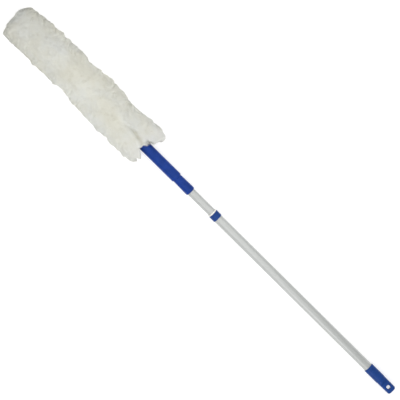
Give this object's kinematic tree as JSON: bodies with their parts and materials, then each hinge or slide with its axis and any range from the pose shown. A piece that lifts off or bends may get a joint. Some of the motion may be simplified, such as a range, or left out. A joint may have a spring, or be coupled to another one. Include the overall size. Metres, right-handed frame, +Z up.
{
  "type": "telescopic duster",
  "caption": "Telescopic duster with a flat white pile sleeve on a padded core, a blue handle, a twist-lock tube pole and a hanging hole.",
  "frame": {"origin": "on the surface that the duster lies on, under the middle of its length", "axes": "+X along the pole from the duster head to the end cap, +Z up through the flat head's thickness"},
  "size_m": [1.45, 0.1216, 0.0455],
  "materials": {
    "blue_plastic": "satin",
    "pile_fabric": "matte",
    "painted_tube": "satin",
    "natural_nylon": "satin",
    "zinc_steel": "satin",
    "core_foam": "matte",
    "black_rubber": "matte"
  },
  "bodies": {
    "outer_pole": {"outer_tube": "painted_tube", "end_cap": "blue_plastic", "cap_rivet": "zinc_steel", "collar": "blue_plastic", "collar_bush": "natural_nylon"},
    "lock_ring": {"expander_ring": "black_rubber"},
    "lock_cone": {"cone_nut": "natural_nylon"},
    "inner_pole": {"inner_tube": "painted_tube", "lock_plug": "natural_nylon", "stop_screw": "zinc_steel", "tip_adapter": "blue_plastic", "tip_rivet": "zinc_steel"},
    "washer": {"seat_washer": "black_rubber"},
    "wand": {"handle_grip": "blue_plastic", "thread_bush": "natural_nylon", "grip_screw": "zinc_steel", "neck_clamp_top": "natural_nylon", "neck_clamp_bottom": "natural_nylon", "neck_screw_1": "zinc_steel", "neck_screw_2": "zinc_steel", "core_board": "natural_nylon", "bend_strip": "zinc_steel", "foam_pad_top": "core_foam", "foam_pad_bottom": "core_foam"},
    "sleeve": {"sleeve": "pile_fabric"}
  },
  "joints": [
    {"name": "telescope", "type": "slide", "parent": "outer_pole", "child": "lock_ring", "axis": [-1, 0, 0], "range_m": [-0.0775, 0.42]},
    {"name": "cone_travel", "type": "slide", "parent": "lock_ring", "child": "lock_cone", "axis": [1, 0, 0], "range_m": [0, 0.002]},
    {"name": "twist_lock", "type": "hinge", "parent": "lock_ring", "child": "inner_pole", "pos_m": [0, 0, 0.0156], "axis": [-1, 0, 0], "range_deg": [0, 360]},
    {"name": "head_screw_travel", "type": "slide", "parent": "inner_pole", "child": "washer", "axis": [-1, 0, 0], "range_m": [0, 0.0254]},
    {"name": "head_unscrew", "type": "hinge", "parent": "washer", "child": "wand", "pos_m": [0, 0, 0.0156], "axis": [-1, 0, 0], "range_deg": [0, 1800]},
    {"name": "sleeve_pull", "type": "slide", "parent": "wand", "child": "sleeve", "axis": [-1, 0, 0], "range_m": [0, 0.52]}
  ],
  "couplings": [
    {"joint": "cone_travel", "follows": "twist_lock", "m_per_rad": 0.000318},
    {"joint": "head_screw_travel", "follows": "head_unscrew", "m_per_rad": 0.000808}
  ]
}
